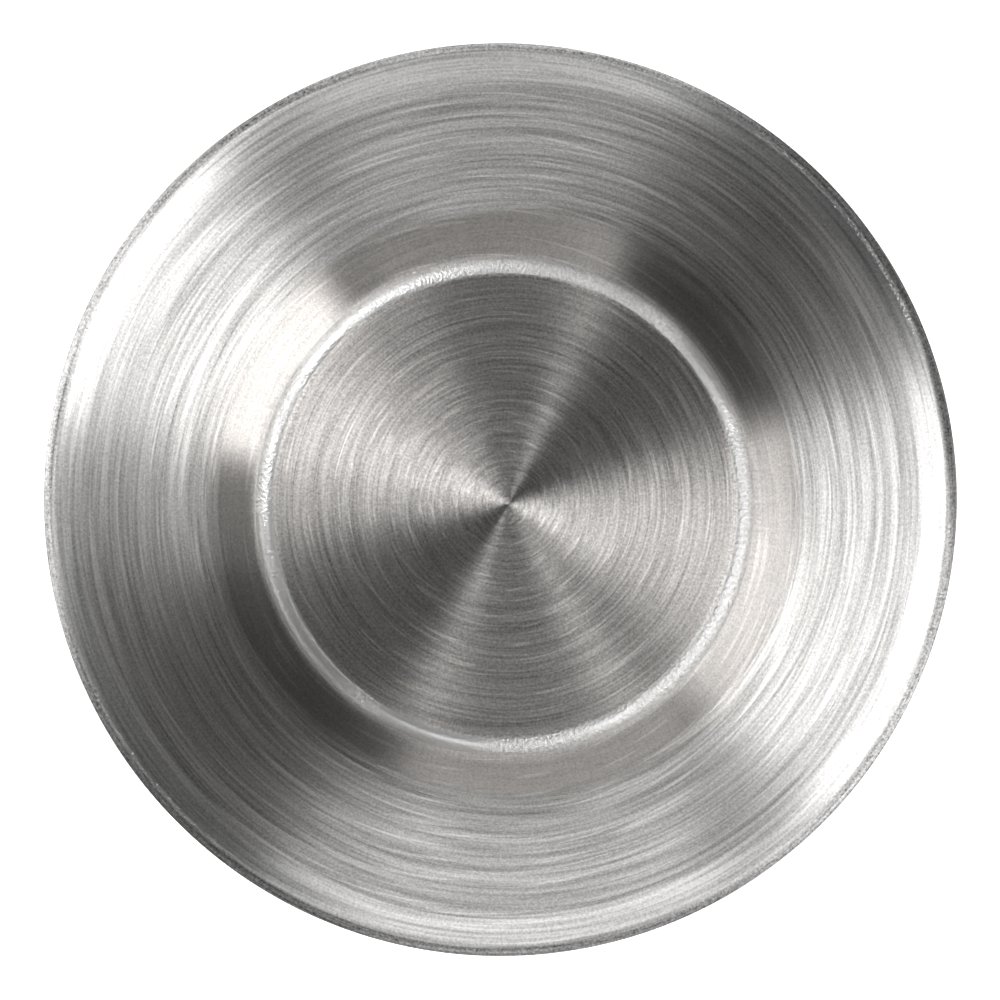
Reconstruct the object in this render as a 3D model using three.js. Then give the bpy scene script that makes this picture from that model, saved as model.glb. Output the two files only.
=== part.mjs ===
// A double-walled stainless steel shaving bowl: the mug that a shaving brush works up a lather in.
// A drawn inner bowl hangs by its rolled rim on the flange of an outer shell, with an air gap between
// the two that keeps the lather warm and the hand cool. A base plate is seamed into the foot of the
// outer shell, a plug closes the plate's vent, and a rubber ring in its channel stands on the shelf.
// Everything turns about one upright axis, so each piece is a section (radius, height) turned round it.
//
// Millimetres, +Z up. The origin is on the axis, at the surface that the bowl stands on.

import * as THREE from "three";

// Overall.
const HEIGHT = 52;
const RIM_RADIUS = 50;
const SHEET = 0.6; // thickness of all the steel
const GAP = 0.3; // clearance between pieces that touch
const SEGMENTS = 64; // facets round the axis

// Inner bowl.
const BEAD_RADIUS = 1.9; // section of the rolled rim
const BEAD_END = -100; // degrees: where the roll stops, under the rim
const FLOOR_HEIGHT = 6;
const FLOOR_RADIUS = 27.4; // flat part of the floor
const FLOOR_FILLET = 2;

// Outer shell.
const FOOT_RADIUS = 30;
const FOOT_EDGE = 0.8; // the steel's lowest edge, above the shelf
const FOOT_HEIGHT = 3.6; // top of the foot's upright band
const FOOT_FILLET = 1.2; // foot band to shoulder
const SHOULDER_RADIUS = 8;
const SHOULDER_RISE = 10; // degrees: slope of the shoulder where it leaves the foot
const NECK_RADIUS = 0.5; // where the wall turns out into the flange
const FLANGE_RISE = 20; // degrees
const FLANGE_LENGTH = 0.9;

// Base plate and the rubber ring in its channel.
const PLATE_HEIGHT = 1.6; // underside of the plate's middle
const CHANNEL_INNER = 24.6;
const CHANNEL_OUTER = FOOT_RADIUS - 2 * SHEET - GAP;
const CHANNEL_TOP = 2.7;
const VENT_RADIUS = 1.6;
const RING_ROUNDING = 0.5;
const RING_TOP_ROUNDING = 0.25;

// Vent plug.
const PLUG_HEAD_RADIUS = 3.2;
const PLUG_HEAD_THICKNESS = 0.5;
const PLUG_BARB_RADIUS = 2.1;
const PLUG_BARB_THICKNESS = 0.9;
const PLUG_SEGMENTS = 32;

const BEAD_CENTRE = at(RIM_RADIUS - BEAD_RADIUS, HEIGHT - BEAD_RADIUS);
const FILLET_CENTRE = at(FLOOR_RADIUS, FLOOR_HEIGHT + FLOOR_FILLET);
const NECK_CENTRE = at(BEAD_CENTRE.x - 0.1, BEAD_CENTRE.y - 1.2); // inside the mouth of the roll

// A point of a section: its radius and its height.
function at(radius, height) {
  return new THREE.Vector2(radius, height);
}

function polar(centre, radius, degrees) {
  const angle = THREE.MathUtils.degToRad(degrees);
  return at(centre.x + radius * Math.cos(angle), centre.y + radius * Math.sin(angle));
}

// Points along an arc, both ends included.
function arc(centre, radius, from, to, steps) {
  const points = [];
  for (let i = 0; i <= steps; i++) points.push(polar(centre, radius, from + ((to - from) * i) / steps));
  return points;
}

// Slope in degrees of the straight line that leaves a circle on its left and joins one on its right.
function tangentSlope(left, leftRadius, right, rightRadius) {
  const between = right.clone().sub(left);
  const turn = Math.asin((leftRadius + rightRadius) / between.length());
  return THREE.MathUtils.radToDeg(between.angle() + turn);
}

// A piece turned from a section that starts and ends on the axis, or that closes on itself.
function turned(name, section, material, segments = SEGMENTS) {
  const geometry = new THREE.LatheGeometry(section, segments);
  geometry.rotateX(Math.PI / 2); // LatheGeometry turns about Y
  const mesh = new THREE.Mesh(geometry, material);
  mesh.name = name;
  return mesh;
}

// Floor, fillet, wall and rolled rim, drawn from one sheet. The face at depth 0 is the one inside.
function innerBowl() {
  const slope = tangentSlope(FILLET_CENTRE, FLOOR_FILLET, BEAD_CENTRE, BEAD_RADIUS);
  const face = (depth) => [
    at(0, FLOOR_HEIGHT - depth),
    ...arc(FILLET_CENTRE, FLOOR_FILLET + depth, -90, slope - 90, 4),
    ...arc(BEAD_CENTRE, BEAD_RADIUS - depth, slope + 90, BEAD_END, 14),
  ];
  return turned("inner_bowl", [...face(SHEET), ...face(0).reverse()], steel.satin);
}

// Foot, shoulder, wall and flange. The face at depth 0 is the one outside.
function outerShell() {
  const footCentre = at(FOOT_RADIUS + FOOT_FILLET, FOOT_HEIGHT);
  const shoulderCentre = polar(footCentre, FOOT_FILLET + SHOULDER_RADIUS, 90 + SHOULDER_RISE);
  const slope = tangentSlope(shoulderCentre, SHOULDER_RADIUS, NECK_CENTRE, NECK_RADIUS);
  const flange = polar(at(0, 0), FLANGE_LENGTH, FLANGE_RISE);
  const face = (depth) => {
    const neck = arc(NECK_CENTRE, NECK_RADIUS + depth, slope + 90, 90 + FLANGE_RISE, 3);
    return [
      at(FOOT_RADIUS - depth, FOOT_EDGE),
      ...arc(footCentre, FOOT_FILLET + depth, 180, 90 + SHOULDER_RISE, 3),
      ...arc(shoulderCentre, SHOULDER_RADIUS - depth, SHOULDER_RISE - 90, slope - 90, 5).slice(1),
      ...neck,
      neck[neck.length - 1].clone().add(flange),
    ];
  };
  const section = [...face(0), ...face(SHEET).reverse()];
  return turned("outer_shell", [...section, section[0]], steel.polished);
}

// A pressed disc with a vent in the middle, a channel for the ring and an upright flange in the foot.
// The face at depth 0 is the one below.
function basePlate() {
  const face = (depth) => [
    at(VENT_RADIUS, PLATE_HEIGHT + depth),
    at(CHANNEL_INNER - depth, PLATE_HEIGHT + depth),
    at(CHANNEL_INNER - depth, CHANNEL_TOP + depth),
    at(CHANNEL_OUTER + depth, CHANNEL_TOP + depth),
    at(CHANNEL_OUTER + depth, FOOT_EDGE),
  ];
  const section = [...face(0), ...face(SHEET).reverse()];
  return turned("base_plate", [...section, section[0]], steel.satin);
}

// The rubber ring that the bowl stands on.
function footRing() {
  const inner = CHANNEL_INNER + GAP;
  const outer = CHANNEL_OUTER - GAP;
  const top = CHANNEL_TOP - GAP;
  const corner = (radius, height, rounding, from) => arc(at(radius, height), rounding, from, from + 90, 2);
  const section = [
    ...corner(inner + RING_ROUNDING, RING_ROUNDING, RING_ROUNDING, -180),
    ...corner(outer - RING_ROUNDING, RING_ROUNDING, RING_ROUNDING, -90),
    ...corner(outer - RING_TOP_ROUNDING, top - RING_TOP_ROUNDING, RING_TOP_ROUNDING, 0),
    ...corner(inner + RING_TOP_ROUNDING, top - RING_TOP_ROUNDING, RING_TOP_ROUNDING, 90),
  ];
  return turned("foot_ring", [...section, section[0]], rubber);
}

// A rubber mushroom: its head shuts the vent from below and its barb holds it from above.
function ventPlug() {
  const head = PLATE_HEIGHT - GAP;
  const barb = PLATE_HEIGHT + SHEET + GAP;
  const shank = VENT_RADIUS - GAP;
  const section = [
    at(0, head - PLUG_HEAD_THICKNESS),
    at(PLUG_HEAD_RADIUS - PLUG_HEAD_THICKNESS, head - PLUG_HEAD_THICKNESS),
    at(PLUG_HEAD_RADIUS, head),
    at(shank, head),
    at(shank, barb),
    at(PLUG_BARB_RADIUS, barb),
    at(shank, barb + PLUG_BARB_THICKNESS),
    at(0, barb + PLUG_BARB_THICKNESS),
  ];
  return turned("vent_plug", section, rubber, PLUG_SEGMENTS);
}

const steel = {
  satin: new THREE.MeshStandardMaterial({ color: 0xc9c6c2, roughness: 0.35, metalness: 1 }),
  polished: new THREE.MeshStandardMaterial({ color: 0xd2d0cd, roughness: 0.2, metalness: 1 }),
};
const rubber = new THREE.MeshStandardMaterial({ color: 0x2b2b2c, roughness: 0.8, metalness: 0 });

const bowl = new THREE.Group();
bowl.add(innerBowl(), outerShell(), basePlate(), footRing(), ventPlug());

export default bowl;
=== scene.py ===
"""A studio picture of a double-walled stainless steel shaving bowl, seen from straight above.

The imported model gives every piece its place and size. Each piece is turned again here with a fine
section and gets its finish: brushed, satin and spun steel, and moulded rubber.
"""

import math

import bpy
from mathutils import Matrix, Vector


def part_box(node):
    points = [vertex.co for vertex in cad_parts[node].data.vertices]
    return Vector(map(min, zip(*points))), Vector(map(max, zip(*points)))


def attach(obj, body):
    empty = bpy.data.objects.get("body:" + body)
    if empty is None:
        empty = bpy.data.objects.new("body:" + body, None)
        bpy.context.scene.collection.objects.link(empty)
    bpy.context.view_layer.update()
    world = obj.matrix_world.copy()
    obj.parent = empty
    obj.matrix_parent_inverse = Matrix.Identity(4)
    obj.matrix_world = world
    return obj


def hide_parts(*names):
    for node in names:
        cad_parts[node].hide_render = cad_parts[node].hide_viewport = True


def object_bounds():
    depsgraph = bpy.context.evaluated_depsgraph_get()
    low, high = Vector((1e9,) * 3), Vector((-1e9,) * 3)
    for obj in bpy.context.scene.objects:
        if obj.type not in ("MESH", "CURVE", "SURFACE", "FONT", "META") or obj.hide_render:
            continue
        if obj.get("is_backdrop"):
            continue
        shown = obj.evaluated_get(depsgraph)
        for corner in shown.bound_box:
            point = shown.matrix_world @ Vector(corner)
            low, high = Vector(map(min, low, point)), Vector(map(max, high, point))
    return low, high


MM = 0.001

# Sheet metal. The frame's boxes give the rest.
SHEET = 0.6 * MM
GAP = 0.3 * MM  # clearance between pieces that touch
SEGMENTS = 512  # round the axis
SHARP_ANGLE = 35  # degrees: edges that turn more than this are shaded sharp

# Inner bowl.
BEAD_RADIUS = 1.9 * MM  # half the rim's width
LIP_BEND = 2.5 * MM  # radius of the wall's bend into the rim
LIP_RADIUS = 0.95 * MM  # of the rim's outer edges
LIP_LENGTH = 1.5 * MM  # flat part of the rim's top
LIP_RISE = 24  # degrees: the rim's top slopes up and outwards
LIP_DROP = 1.0 * MM  # flat part of the rim's outer side
LIP_END = -80  # degrees: where the rim stops, under its outer side
FLOOR_RADIUS = 27.4 * MM
FLOOR_FILLET = 2 * MM

# Outer shell.
FOOT_HEIGHT = 3.6 * MM
FOOT_RADIUS = 30 * MM
FOOT_FILLET = 1.2 * MM
SHOULDER_RADIUS = 8 * MM
SHOULDER_RISE = 10  # degrees
NECK_RADIUS = 0.5 * MM
NECK_OFFSET = (-0.1 * MM, -1.2 * MM)  # from the middle of the rim's roll
FLANGE_RISE = 20  # degrees
FLANGE_LENGTH = 0.9 * MM
EDGE_ROUNDING = 0.2 * MM  # how far a sheet's cut edges are broken

# Base plate, with grooves pressed up into it to stiffen it.
VENT_RADIUS = 1.6 * MM
PLATE_HEIGHT = 1.6 * MM
CHANNEL_INNER = 24.6 * MM
CHANNEL_OUTER = FOOT_RADIUS - 2 * SHEET - GAP
CHANNEL_TOP = 2.7 * MM
GROOVES = (10 * MM, 17 * MM)
GROOVE_HALF_WIDTH = 1.2 * MM
GROOVE_DEPTH = 0.4 * MM
GROOVE_STEPS = 8  # from a groove's middle to its edge

# Weld between the shell's foot and the plate.
WELD_HALF_WIDTH = 0.55 * MM
WELD_HALF_HEIGHT = 0.2 * MM
WELD_STEPS = 16  # round the weld's section
WELD_PUDDLES = 200
PUDDLE_STEPS = 8  # along one puddle
WELD_RIPPLE = 0.09 * MM

# Rubber ring, with drip grooves in its underside.
RING_INNER = CHANNEL_INNER + GAP
RING_ROUNDING = 0.3 * MM
DRIP_GROOVES = (25.95 * MM, 27.15 * MM)
DRIP_HALF_WIDTH = 0.3 * MM
DRIP_DEPTH = 0.35 * MM

# Rubber plug: a head below the plate, a shank in the vent and a barb above.
PLUG_SHANK = VENT_RADIUS - GAP
PLUG_BARB = 2.1 * MM
PLUG_HEAD_THICKNESS = 0.5 * MM
PLUG_DIMPLE = 1.5 * MM
PLUG_ROUNDING = 0.12 * MM

# Camera: straight above the rim, a little off the axis.
CAMERA_OFFSET = (7.7 * MM, -10.8 * MM)
CAMERA_HEIGHT = 600 * MM
FOCAL_LENGTH = 197.7
SENSOR_WIDTH = 36
AIM_OFFSET = -0.1 * MM  # of the point that it looks at, along Y

# The lights: panels on a sphere round the bowl, in a dark studio. A window and a softbox face each
# other, with fill behind and in front, two strips up high and a panel overhead. Azimuths run
# counterclockwise from +X, seen from above. The spans are in degrees too, and the last number is the
# panel's brightness.
LIGHT_DISTANCE = 1.5
LIGHTS = (
    ("window", -30, 45, 40, 20, 8),
    ("window_low", -30, 25, 30, 15, 2),
    ("softbox", 165, 45, 60, 20, 4),
    ("softbox_low", 165, 25, 60, 20, 4),
    ("softbox_high", 165, 70, 40, 10, 4),
    ("back_fill", 100, 45, 60, 20, 2),
    ("back_low", 90, 20, 60, 15, 4),
    ("front_fill", -90, 35, 50, 30, 1.5),
    ("left_strip", -115, 70, 5, 10, 10),
    ("right_strip", -60, 70, 10, 10, 5),
    ("overhead", 0, 85, 10, 10, 10),
)

# The studio's greys by height, from straight down at -1 to straight up at 1.
STUDIO_GREYS = ((-1.0, 0.2), (-0.5, 0.48), (0.0, 0.85), (0.1, 0.95), (0.12, 0.4), (0.16, 0.02))
LIT_AXIS = -15  # degrees: the line along which the studio is brightest below the horizon
LIT_RANGE = (0.6, 1.5)
STAGE_HALF = 6  # half the width of the studio's floor, in metres
FLOOR_GLOW = 0.75


def polar(centre, radius, degrees):
    angle = math.radians(degrees)
    return (centre[0] + radius * math.cos(angle), centre[1] + radius * math.sin(angle))


def arc(centre, radius, start, end, steps):
    """Points along an arc, both ends included."""
    return [polar(centre, radius, start + (end - start) * i / steps) for i in range(steps + 1)]


def line(start, end, steps):
    """Points along a straight line, both ends included."""
    return [tuple(Vector(start).lerp(Vector(end), i / steps)) for i in range(steps + 1)]


def tangent_slope(left, left_radius, right, right_radius):
    """Slope in degrees of the line that leaves a circle on its left and joins one on its right."""
    across, up = right[0] - left[0], right[1] - left[1]
    turn = math.asin((left_radius + right_radius) / math.hypot(across, up))
    return math.degrees(math.atan2(up, across) + turn)


def softened(points, size, steps=4):
    """The outline with each of its corners but the ends rounded off over that length on both sides."""
    outline = [points[0]]
    for before, corner, after in zip(points, points[1:], points[2:]):
        corner = Vector(corner)
        start = corner + (Vector(before) - corner).normalized() * size
        end = corner + (Vector(after) - corner).normalized() * size
        for i in range(steps + 1):
            first, second = start.lerp(corner, i / steps), corner.lerp(end, i / steps)
            outline.append(tuple(first.lerp(second, i / steps)))
    return outline + [points[-1]]


def turned(name, strips, materials, closed=True, segments=SEGMENTS):
    """A piece turned round Z from strips of (points, material number), each starting where the last ended."""
    section, numbers = [strips[0][0][0]], []
    for points, number in strips:
        section += points[1:]
        numbers += [number] * (len(points) - 1)
    if closed:
        section.pop()
    rings, vertices, faces, face_numbers = [], [], [], []
    for radius, height in section:
        count = segments if radius > 0 else 1
        rings.append([len(vertices) + i % count for i in range(segments + 1)])
        for i in range(count):
            angle = 2 * math.pi * i / segments
            vertices.append((radius * math.cos(angle), radius * math.sin(angle), height))
    for i, number in enumerate(numbers):
        first, second = rings[i], rings[(i + 1) % len(rings)]
        for j in range(segments):
            corners = (first[j], first[j + 1], second[j + 1], second[j])
            faces.append(tuple(dict.fromkeys(corners)))
            face_numbers.append(number)
    mesh = bpy.data.meshes.new(name)
    mesh.from_pydata(vertices, [], faces)
    mesh.polygons.foreach_set("material_index", face_numbers)
    mesh.shade_smooth()
    mesh.set_sharp_from_angle(angle=math.radians(SHARP_ANGLE))
    for material in materials:
        mesh.materials.append(material)
    piece = bpy.data.objects.new(name, mesh)
    bpy.context.collection.objects.link(piece)
    return piece


def rim_centre():
    """The middle of the rim's roll."""
    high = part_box("inner_bowl")[1]
    return (high.x - BEAD_RADIUS, high.z - BEAD_RADIUS)


def lip_centres():
    """The middles of the rim's three bends, from the wall's top to the outer side's foot."""
    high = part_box("inner_bowl")[1]
    outer = (high.x - LIP_RADIUS, high.z - LIP_RADIUS)
    inner = polar(polar(outer, LIP_LENGTH, 180 + LIP_RISE), LIP_BEND - LIP_RADIUS, LIP_RISE - 90)
    return inner, outer, (outer[0], outer[1] - LIP_DROP)


def inner_bowl():
    """Floor, bend, wall and rolled rim, drawn from one sheet."""
    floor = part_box("inner_bowl")[0].z + SHEET
    fillet = (FLOOR_RADIUS, floor + FLOOR_FILLET)
    inner, outer, under = lip_centres()
    slope = tangent_slope(fillet, FLOOR_FILLET, inner, LIP_BEND)

    def face(depth):
        flat = line((0, floor - depth), (FLOOR_RADIUS, floor - depth), 4)
        bend = arc(fillet, FLOOR_FILLET + depth, -90, slope - 90, 12)
        lip = arc(inner, LIP_BEND - depth, slope + 90, 90 + LIP_RISE, 12)
        lip += arc(outer, LIP_RADIUS - depth, 90 + LIP_RISE, 0, 16)
        lip += arc(under, LIP_RADIUS - depth, 0, LIP_END, 12)
        return flat, bend, line(bend[-1], lip[0], 8), lip

    flat, bend, wall, lip = face(0)
    back = [point for stretch in face(SHEET) for point in stretch[:-1]]
    back.append(face(SHEET)[-1][-1])
    strips = [
        (back, 2),
        ([back[-1], lip[-1]], 3),
        (lip[::-1], 3),
        (wall[::-1], 2),
        (bend[::-1], 1),
        (flat[::-1], 0),
    ]
    finishes = [floor_finish(), bend_finish(), wall_finish(), rim_finish()]
    return turned("brushed_bowl", strips, finishes, closed=False)


def outer_shell():
    """Foot, shoulder, wall and flange."""
    foot_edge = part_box("outer_shell")[0].z
    foot = (FOOT_RADIUS + FOOT_FILLET, FOOT_HEIGHT)
    shoulder = polar(foot, FOOT_FILLET + SHOULDER_RADIUS, 90 + SHOULDER_RISE)
    neck = (rim_centre()[0] + NECK_OFFSET[0], rim_centre()[1] + NECK_OFFSET[1])
    slope = tangent_slope(shoulder, SHOULDER_RADIUS, neck, NECK_RADIUS)

    def face(depth):
        inward = arc(foot, FOOT_FILLET + depth, 180, 90 + SHOULDER_RISE, 10)
        outward = arc(shoulder, SHOULDER_RADIUS - depth, SHOULDER_RISE - 90, slope - 90, 24)
        flare = arc(neck, NECK_RADIUS + depth, slope + 90, 90 + FLANGE_RISE, 8)
        wall = line(outward[-1], flare[0], 8)
        return inward + outward[1:-1] + wall + flare[1:] + [polar(flare[-1], FLANGE_LENGTH, FLANGE_RISE)]

    broken = (FOOT_RADIUS - EDGE_ROUNDING, foot_edge + EDGE_ROUNDING)
    edge = arc(broken, EDGE_ROUNDING, -90, 0, 4)
    section = edge + face(0) + face(SHEET)[::-1] + [(FOOT_RADIUS - SHEET, foot_edge), edge[0]]
    return turned("satin_shell", [(section, 0)], [shell_finish()])


def base_plate():
    """A pressed disc with a vent in the middle, a channel for the ring and an upright flange in the foot."""
    foot_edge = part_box("base_plate")[0].z

    def face(depth):
        middle = [(VENT_RADIUS, PLATE_HEIGHT + depth)]
        for groove in GROOVES:
            for i in range(-GROOVE_STEPS, GROOVE_STEPS + 1):
                rise = GROOVE_DEPTH * (1 + math.cos(math.pi * i / GROOVE_STEPS)) / 2
                across = GROOVE_HALF_WIDTH * i / GROOVE_STEPS
                middle.append((groove + across, PLATE_HEIGHT + depth + rise))
        channel = [
            middle[-1],
            (CHANNEL_INNER - depth, PLATE_HEIGHT + depth),
            (CHANNEL_INNER - depth, CHANNEL_TOP + depth),
            (CHANNEL_OUTER + depth, CHANNEL_TOP + depth),
            (CHANNEL_OUTER + depth, foot_edge),
        ]
        return middle + softened(channel, EDGE_ROUNDING)[1:]

    below = face(0)
    section = below + face(SHEET)[::-1] + below[:1]
    return turned("spun_plate", [(section, 0)], [plate_finish()])


def seam_weld():
    """Overlapping puddles of weld that join the edges of the shell's foot and the base plate."""
    middle = (FOOT_RADIUS - SHEET - GAP / 2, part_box("outer_shell")[0].z)
    section = []
    for i in range(WELD_STEPS + 1):
        angle = 2 * math.pi * i / WELD_STEPS
        across, up = WELD_HALF_WIDTH * math.cos(angle), WELD_HALF_HEIGHT * math.sin(angle)
        section.append((middle[0] + across, middle[1] + up))
    weld = turned("seam_weld", [(section, 0)], [weld_finish()], segments=PUDDLE_STEPS * WELD_PUDDLES)
    for vertex in weld.data.vertices:
        turn = math.atan2(vertex.co.y, vertex.co.x)
        crest = abs(math.sin(turn * WELD_PUDDLES / 2))
        vertex.co.z += WELD_RIPPLE * (1 - crest) * (vertex.co.z < middle[1])
    return weld


def foot_ring():
    """The rubber ring that the bowl stands on, filling the plate's channel."""
    low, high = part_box("foot_ring")
    outer, top = high.x, high.z
    outline = [(outer, (low.z + top) / 2), (outer, top), (RING_INNER, top), (RING_INNER, low.z)]
    for groove in DRIP_GROOVES:
        outline.append((groove - DRIP_HALF_WIDTH, low.z))
        outline.append((groove, low.z + DRIP_DEPTH))
        outline.append((groove + DRIP_HALF_WIDTH, low.z))
    outline += [(outer, low.z), outline[0]]
    finish = rubber_finish("foot_rubber", 3)
    return turned("moulded_ring", [(softened(outline, RING_ROUNDING / 2), 0)], [finish])


def vent_plug():
    """A rubber mushroom with a dimple in its head."""
    low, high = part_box("vent_plug")
    head = low.z + PLUG_HEAD_THICKNESS
    barb = PLATE_HEIGHT + SHEET + GAP
    outline = [
        (0, low.z + PLUG_HEAD_THICKNESS / 2),
        (PLUG_DIMPLE / 2, low.z + PLUG_HEAD_THICKNESS / 2),
        (PLUG_DIMPLE, low.z),
        (high.x - PLUG_HEAD_THICKNESS, low.z),
        (high.x, head),
        (PLUG_SHANK, head),
        (PLUG_SHANK, barb),
        (PLUG_BARB, barb),
        (PLUG_SHANK, high.z),
        (0, high.z),
    ]
    finish = rubber_finish("plug_rubber", 8)
    return turned("moulded_plug", [(softened(outline, PLUG_ROUNDING), 0)], [finish], closed=False)


class Nodes:
    """Short ways to add nodes to a tree."""

    def __init__(self, tree):
        self.tree = tree

    def node(self, kind, inputs=None, **settings):
        node = self.tree.nodes.new(kind)
        for key, value in settings.items():
            setattr(node, key, value)
        for key, value in (inputs or {}).items():
            self.feed(node.inputs[key], value)
        return node

    def feed(self, socket, value):
        if isinstance(value, bpy.types.NodeSocket):
            self.tree.links.new(value, socket)
        else:
            socket.default_value = value

    def math(self, operation, *inputs):
        return self.node("ShaderNodeMath", dict(enumerate(inputs)), operation=operation).outputs[0]

    def vector(self, operation, *inputs):
        node = self.node("ShaderNodeVectorMath", dict(enumerate(inputs)), operation=operation)
        return node.outputs["Value" if operation in ("LENGTH", "DOT_PRODUCT") else "Vector"]

    def scaled(self, vector, factor):
        inputs = {"Vector": vector, "Scale": factor}
        return self.node("ShaderNodeVectorMath", inputs, operation="SCALE").outputs[0]

    def remap(self, value, low, high, to_low, to_high):
        inputs = {"Value": value, "From Min": low, "From Max": high, "To Min": to_low, "To Max": to_high}
        return self.node("ShaderNodeMapRange", inputs).outputs[0]

    def weighed(self, base, *terms):
        """base plus each (noise, gain), where a noise of a half adds nothing."""
        total = base
        for noise, gain in terms:
            total = self.math("ADD", total, self.math("MULTIPLY_ADD", noise, gain, -gain / 2))
        return total

    def raised(self, base, mask, gain):
        """base, and gain more where the mask is 1."""
        return self.math("MULTIPLY_ADD", mask, gain, base)

    def faded(self, noise, share):
        """The noise where the share is 1, calmer where it is less."""
        return self.math("MULTIPLY_ADD", self.math("SUBTRACT", noise, 0.5), share, 0.5)


class Finish(Nodes):
    """One material, with what the finishes share."""

    def __init__(self, name, metallic=1.0):
        self.material = bpy.data.materials.new(name)
        self.material.use_nodes = True
        super().__init__(self.material.node_tree)
        self.shader = self.tree.nodes["Principled BSDF"]
        self.set("Metallic", metallic)
        place = self.node("ShaderNodeTexCoord").outputs["Object"]
        self.position = self.scaled(place, 1 / MM)  # in millimetres

    def set(self, name, value):
        self.feed(self.shader.inputs[name], value)

    def plan(self, centre):
        """The position seen from above, from a centre in millimetres."""
        return self.vector("MULTIPLY", self.vector("SUBTRACT", self.position, (*centre, 0)), (1, 1, 0))

    def radius(self):
        return self.vector("LENGTH", self.plan((0, 0)))

    def noise(self, point, scale, detail):
        inputs = {"Vector": point, "Scale": scale, "Detail": detail, "Roughness": 0.6}
        return self.node("ShaderNodeTexNoise", inputs).outputs["Fac"]

    def streaks(self, centre, along, across, seed, detail=2.0, climb=0.0):
        """Noise drawn out round a centre: along is its frequency per radian, across per millimetre.

        climb is how much a millimetre of height counts towards across.
        """
        plan = self.plan(centre)
        split = self.node("ShaderNodeSeparateXYZ", {0: self.position})
        path = self.math("MULTIPLY_ADD", split.outputs["Z"], climb, self.vector("LENGTH", plan))
        level = self.math("MULTIPLY_ADD", path, across, seed)
        depth = self.node("ShaderNodeCombineXYZ", {"Z": level}).outputs[0]
        point = self.vector("ADD", self.scaled(self.vector("NORMALIZE", plan), along), depth)
        return self.noise(point, 1.0, detail)

    def scratches(self, centre, seed):
        """Sparse thin strokes round a centre: 1 on a stroke and 0 between."""
        return self.remap(self.streaks(centre, 3.0, 2.6, seed, detail=0.0), 0.64, 0.74, 0.0, 1.0)

    def grain(self):
        """A fine even speckle, drawn out a little down steep walls."""
        return self.noise(self.vector("MULTIPLY", self.position, (1, 1, 0.45)), 3.8, 1.0)

    def nicks(self):
        """Ragged marks round the floor's edge, crowded on some stretches and rare on others."""
        ragged = self.noise(self.vector("MULTIPLY", self.position, (1, 1, 0.5)), 2.6, 3.0)
        return self.faded(ragged, self.remap(self.noise(self.position, 0.06, 1.0), 0.4, 0.6, 0.25, 1.0))

    def brushed(self, centre, anisotropy, twist=0.0):
        """The grooves run round the centre, twisted a little, and the gloss spreads across them."""
        plan = self.plan(centre)
        spin = self.node("ShaderNodeCombineXYZ", {"X": twist, "Y": twist}).outputs[0]
        tangent = self.vector("MULTIPLY_ADD", plan, spin, self.vector("CROSS_PRODUCT", (0, 0, 1), plan))
        self.set("Tangent", tangent)
        self.set("Anisotropic", anisotropy)
        self.set("Anisotropic Rotation", 0.25)

    def bump(self, height, distance):
        inputs = {"Height": height, "Strength": 1.0, "Distance": distance}
        self.set("Normal", self.node("ShaderNodeBump", inputs).outputs[0])

    def tint(self, colour, shade):
        """The colour, made lighter or darker by a shade of about 1."""
        self.set("Base Color", self.scaled((*colour,), shade))


STEEL = (0.57, 0.565, 0.559)
WARM_STEEL = (0.575, 0.553, 0.533)
BURNISHED = (0.79, 0.782, 0.774)
SATIN = (0.75, 0.741, 0.732)
RUBBER = (0.022, 0.022, 0.023)
STRAW = (0.6, 0.48, 0.33)  # the colour that heat leaves on steel
PALE = (0.82, 0.82, 0.82)

# Centres of the brushing, in millimetres off the axis. Strokes from two centres cross at a slight angle.
BRUSH_CENTRE = (0.5, 0.3)
CROSSED_CENTRE = (-0.9, 1.1)


def floor_finish():
    """Circular brushing, turned about a point a little off the bowl's axis, and ragged at the bend, where the
    rougher worn edge also carries a ring of painted highlight.
    """
    finish = Finish("brushed_floor")
    hairlines = finish.streaks(BRUSH_CENTRE, 1.6, 3.4, 3.0, detail=1.5)
    bands = finish.streaks(CROSSED_CENTRE, 1.0, 1.1, 9.0)
    scratches = finish.scratches(CROSSED_CENTRE, 21.0)
    # Ragged ring at the floor's edge: rougher from real wear, and also used below to paint a lighter ring as
    # a painted highlight.
    worn_and_highlight = finish.remap(finish.weighed(finish.radius(), (finish.nicks(), 2.4)), 27.0, 27.4, 0.0, 1.0)
    finish.brushed(BRUSH_CENTRE, 1.0, finish.weighed(0.0, (hairlines, 0.03), (bands, 0.02)))
    finish.set("Roughness", finish.raised(finish.weighed(0.3, (hairlines, 0.04)), worn_and_highlight, 0.15))
    shade = finish.weighed(1.02, (hairlines, 1.3), (bands, 0.5), (finish.grain(), 1.1))
    # The ring at the floor's edge is painted 0.6 lighter: painted highlight, laid over the real scratches and
    # wear.
    finish.tint(WARM_STEEL, finish.raised(finish.raised(shade, scratches, 0.35), worn_and_highlight, 0.6))
    return finish.material


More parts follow.
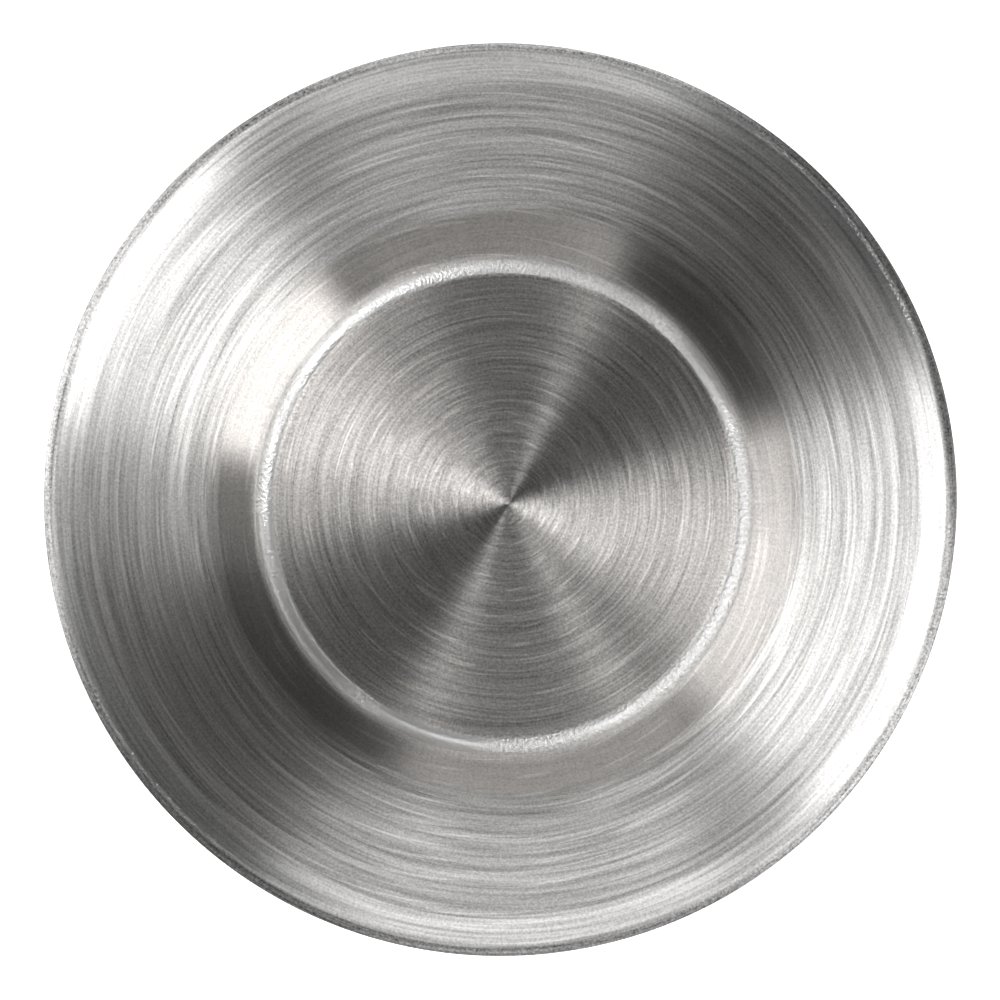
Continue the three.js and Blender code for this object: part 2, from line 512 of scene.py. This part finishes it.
def wall_finish():
    """Circular brushing, coarse above and polished smoother by the tool near the floor, where the colour is
    also painted a little lighter as a painted highlight.
    """
    finish = Finish("brushed_wall")
    hairlines = finish.streaks((0.6, -0.4), 2.5, 3.4, 5.0, detail=1.5)
    bands = finish.streaks((1.5, 1.0), 1.5, 1.2, 7.0)
    broad = finish.streaks(CROSSED_CENTRE, 1.0, 0.4, 11.0, detail=1.0)
    scratches = finish.scratches((-1.8, -0.7), 24.0)
    coarse = finish.remap(finish.weighed(finish.radius(), (bands, 4.0)), 32.5, 35.5, 0.0, 1.0)
    calm = finish.remap(coarse, 0, 1, 0.3, 1.0)
    finish.brushed((0, 0), 1.0, finish.weighed(0.0, (hairlines, 0.05), (bands, 0.08)))
    rough = finish.weighed(finish.remap(coarse, 0, 1, 0.13, 0.38), (hairlines, 0.08), (bands, 0.08))
    finish.set("Roughness", rough)
    lines = finish.weighed(0.5, (hairlines, 1.7), (bands, 0.55), (broad, 0.4))
    # The smooth band near the floor is painted a little lighter, 1.2 against 1.15 above: painted highlight.
    shade = finish.weighed(finish.remap(coarse, 0, 1, 1.2, 1.15), (finish.faded(lines, calm), 1.0))
    finish.tint(STEEL, finish.raised(finish.weighed(shade, (finish.grain(), 1.1)), scratches, 0.35))
    return finish.material


def bend_finish():
    """The press's bend between floor and wall: burnished, and nicked where the tools met."""
    finish = Finish("burnished_bend")
    nicks = finish.nicks()
    finish.bump(nicks, 0.2 * MM)
    finish.set("Roughness", finish.weighed(0.35, (nicks, 0.4)))
    finish.tint(BURNISHED, finish.weighed(1.0, (nicks, 1.2)))
    return finish.material


def rim_finish():
    """Rolled and buffed round: satin on top, with an orange-peel grain on its outer edge, whose colour is
    also painted darker as painted shade.
    """
    finish = Finish("satin_rim")
    hairlines = finish.streaks((0, 0), 3.0, 3.0, 6.0, detail=1.5)
    peel = finish.noise(finish.position, 3.0, 2.0)
    outer = finish.remap(finish.weighed(finish.radius(), (peel, 1.0)), 48.6, 49.1, 0.0, 1.0)
    finish.brushed((0, 0), 1.0, finish.weighed(0.0, (hairlines, 0.06)))
    finish.bump(finish.math("MULTIPLY", peel, outer), 0.06 * MM)
    finish.set("Roughness", finish.weighed(finish.remap(outer, 0, 1, 0.4, 0.45), (peel, 0.15)))
    # Towards the outer edge the colour falls from 1.05 to 0.65: painted shade. The peel grain there is real.
    shade = finish.weighed(finish.remap(outer, 0, 1, 1.05, 0.65), (hairlines, 1.4), (finish.grain(), 0.8))
    finish.tint(SATIN, finish.weighed(shade, (finish.faded(peel, outer), 1.3)))
    return finish.material


def shell_finish():
    """Fine satin brushing round the outside."""
    finish = Finish("satin_shell")
    hairlines = finish.streaks((0, 0), 1.4, 3.5, 4.0, climb=1.0)
    bands = finish.streaks((0, 0), 0.7, 0.8, 13.0, climb=1.0)
    grain = finish.noise(finish.position, 4.0, 1.0)
    finish.brushed((0, 0), 0.9, finish.weighed(0.0, (hairlines, 0.05)))
    finish.bump(hairlines, 0.003 * MM)
    finish.set("Roughness", finish.weighed(0.34, (hairlines, 0.06), (bands, 0.06)))
    finish.tint(SATIN, finish.weighed(1.0, (hairlines, 0.6), (bands, 0.2), (grain, 0.3)))
    return finish.material


def plate_finish():
    """Spun steel: even tool marks round the axis under a dull brushing."""
    finish = Finish("spun_plate")
    turn = finish.math("MULTIPLY", finish.radius(), 2 * math.pi / 0.35)
    marks = finish.math("MULTIPLY_ADD", finish.math("SINE", turn), 0.5, 0.5)
    hairlines = finish.streaks((0, 0), 1.2, 3.0, 15.0)
    blotches = finish.noise(finish.position, 0.25, 3.0)
    finish.brushed((0, 0), 0.7)
    finish.bump(finish.weighed(marks, (hairlines, 1.5)), 0.008 * MM)
    finish.set("Roughness", finish.weighed(0.38, (hairlines, 0.1), (blotches, 0.25)))
    finish.tint(STEEL, finish.weighed(0.92, (hairlines, 0.7), (blotches, 0.3)))
    return finish.material


def weld_finish():
    """Matt puddles, tinted by their heat."""
    finish = Finish("seam_weld")
    heat = finish.noise(finish.position, 0.4, 2.0)
    pits = finish.noise(finish.position, 6.0, 2.0)
    share = finish.remap(heat, 0.35, 0.65, 0.0, 1.0)
    colours = {"Factor": share, 6: (*STEEL, 1), 7: (*STRAW, 1)}  # 6 and 7 are the colour sockets
    blend = finish.node("ShaderNodeMix", colours, data_type="RGBA")
    finish.set("Base Color", blend.outputs[2])
    finish.bump(pits, 0.03 * MM)
    finish.set("Roughness", finish.weighed(0.45, (pits, 0.3)))
    return finish.material


def rubber_finish(name, seed):
    """Moulded black rubber: a fine matt grain, with paler patches of wear and dust."""
    finish = Finish(name, metallic=0.0)
    place = finish.vector("ADD", finish.position, (seed, seed, seed))
    grain = finish.noise(place, 5.0, 3.0)
    wear = finish.noise(place, 0.5, 4.0)
    finish.bump(grain, 0.04 * MM)
    finish.set("Roughness", finish.weighed(0.72, (grain, 0.2), (wear, 0.3)))
    finish.tint(RUBBER, finish.weighed(finish.remap(wear, 0.5, 0.75, 1.0, 2.4), (grain, 1.2)))
    finish.set("Specular IOR Level", 0.35)
    return finish.material


def add_lights():
    for name, azimuth, elevation, width, height, brightness in LIGHTS:
        data = bpy.data.lights.new(name, "AREA")
        data.shape = "RECTANGLE"
        turn, rise = math.radians(azimuth), math.radians(elevation)
        data.size = 2 * LIGHT_DISTANCE * math.tan(math.radians(width) / 2) * math.cos(rise)
        data.size_y = 2 * LIGHT_DISTANCE * math.tan(math.radians(height) / 2)
        data.energy = brightness * math.pi * data.size * data.size_y
        light = bpy.data.objects.new(name, data)
        flat = LIGHT_DISTANCE * math.cos(rise)
        light.location = (flat * math.cos(turn), flat * math.sin(turn), LIGHT_DISTANCE * math.sin(rise))
        light.rotation_euler = (math.pi / 2 - rise, 0, turn + math.pi / 2)
        bpy.context.collection.objects.link(light)


def add_world():
    """A dark studio with pale walls near the ground, brighter below on the sides of window and softbox."""
    world = bpy.data.worlds.new("studio")
    world.use_nodes = True
    sky = Nodes(world.node_tree)
    direction = sky.node("ShaderNodeTexCoord").outputs["Generated"]
    height = sky.node("ShaderNodeSeparateXYZ", {0: direction}).outputs["Z"]
    ramp = sky.node("ShaderNodeValToRGB", {0: sky.remap(height, -1, 1, 0, 1)})
    for i, (level, grey) in enumerate(STUDIO_GREYS):
        stop = ramp.color_ramp.elements[i] if i < 2 else ramp.color_ramp.elements.new(1)
        stop.position = (level + 1) / 2
        stop.color = (grey, grey, grey, 1)
    turn = math.radians(LIT_AXIS)
    lit = sky.math("ABSOLUTE", sky.vector("DOT_PRODUCT", direction, (math.cos(turn), math.sin(turn), 0)))
    below = sky.remap(height, -0.15, 0.0, 1.0, 0.0)
    glow = sky.math("SUBTRACT", sky.remap(lit, 0.45, 0.95, *LIT_RANGE), 1)
    colour = sky.scaled(ramp.outputs[0], sky.math("MULTIPLY_ADD", glow, below, 1))
    sky.feed(sky.tree.nodes["Background"].inputs["Color"], colour)
    bpy.context.scene.world = world


def add_camera():
    _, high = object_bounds()
    camera = bpy.data.objects.new("camera", bpy.data.cameras.new("camera"))
    camera.data.lens = FOCAL_LENGTH
    camera.data.sensor_width = SENSOR_WIDTH
    camera.location = (*CAMERA_OFFSET, high.z + CAMERA_HEIGHT)
    aim = Vector((0, AIM_OFFSET, high.z - BEAD_RADIUS)) - camera.location
    camera.rotation_euler = (math.atan2(aim.y, -aim.z), math.atan2(-aim.x, -aim.z), 0)
    bpy.context.collection.objects.link(camera)
    bpy.context.scene.camera = camera


def add_floor():
    mesh = bpy.data.meshes.new("floor")
    corners = [(x * STAGE_HALF, y * STAGE_HALF, 0) for x, y in ((-1, -1), (1, -1), (1, 1), (-1, 1))]
    mesh.from_pydata(corners, [], [(0, 1, 2, 3)])
    floor = bpy.data.objects.new("floor", mesh)
    finish = Finish("pale_floor", metallic=0.0)
    finish.set("Base Color", (*PALE, 1))
    finish.set("Roughness", 0.7)
    finish.set("Emission Color", (1, 1, 1, 1))
    finish.set("Emission Strength", FLOOR_GLOW)
    mesh.materials.append(finish.material)
    floor.visible_glossy = False
    bpy.context.collection.objects.link(floor)
    floor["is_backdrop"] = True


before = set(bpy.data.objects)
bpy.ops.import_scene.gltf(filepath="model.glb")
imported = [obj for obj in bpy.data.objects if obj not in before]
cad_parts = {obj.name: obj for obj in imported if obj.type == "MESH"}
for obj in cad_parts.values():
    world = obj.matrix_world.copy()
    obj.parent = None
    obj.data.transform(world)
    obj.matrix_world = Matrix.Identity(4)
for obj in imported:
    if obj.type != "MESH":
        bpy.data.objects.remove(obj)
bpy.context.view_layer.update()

PIECES = (
    (inner_bowl, "inner_bowl", "bowl_steel"),
    (outer_shell, "outer_shell", "shell_steel"),
    (base_plate, "base_plate", "base_steel"),
    (foot_ring, "foot_ring", "foot_rubber"),
    (vent_plug, "vent_plug", "plug_rubber"),
)
for make, node, slot in PIECES:
    piece = make()
    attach(piece, "root")
    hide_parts(node)
weld = seam_weld()
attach(weld, "root")

add_floor()
add_lights()
add_world()
add_camera()
bpy.context.scene.view_settings.view_transform = "Standard"
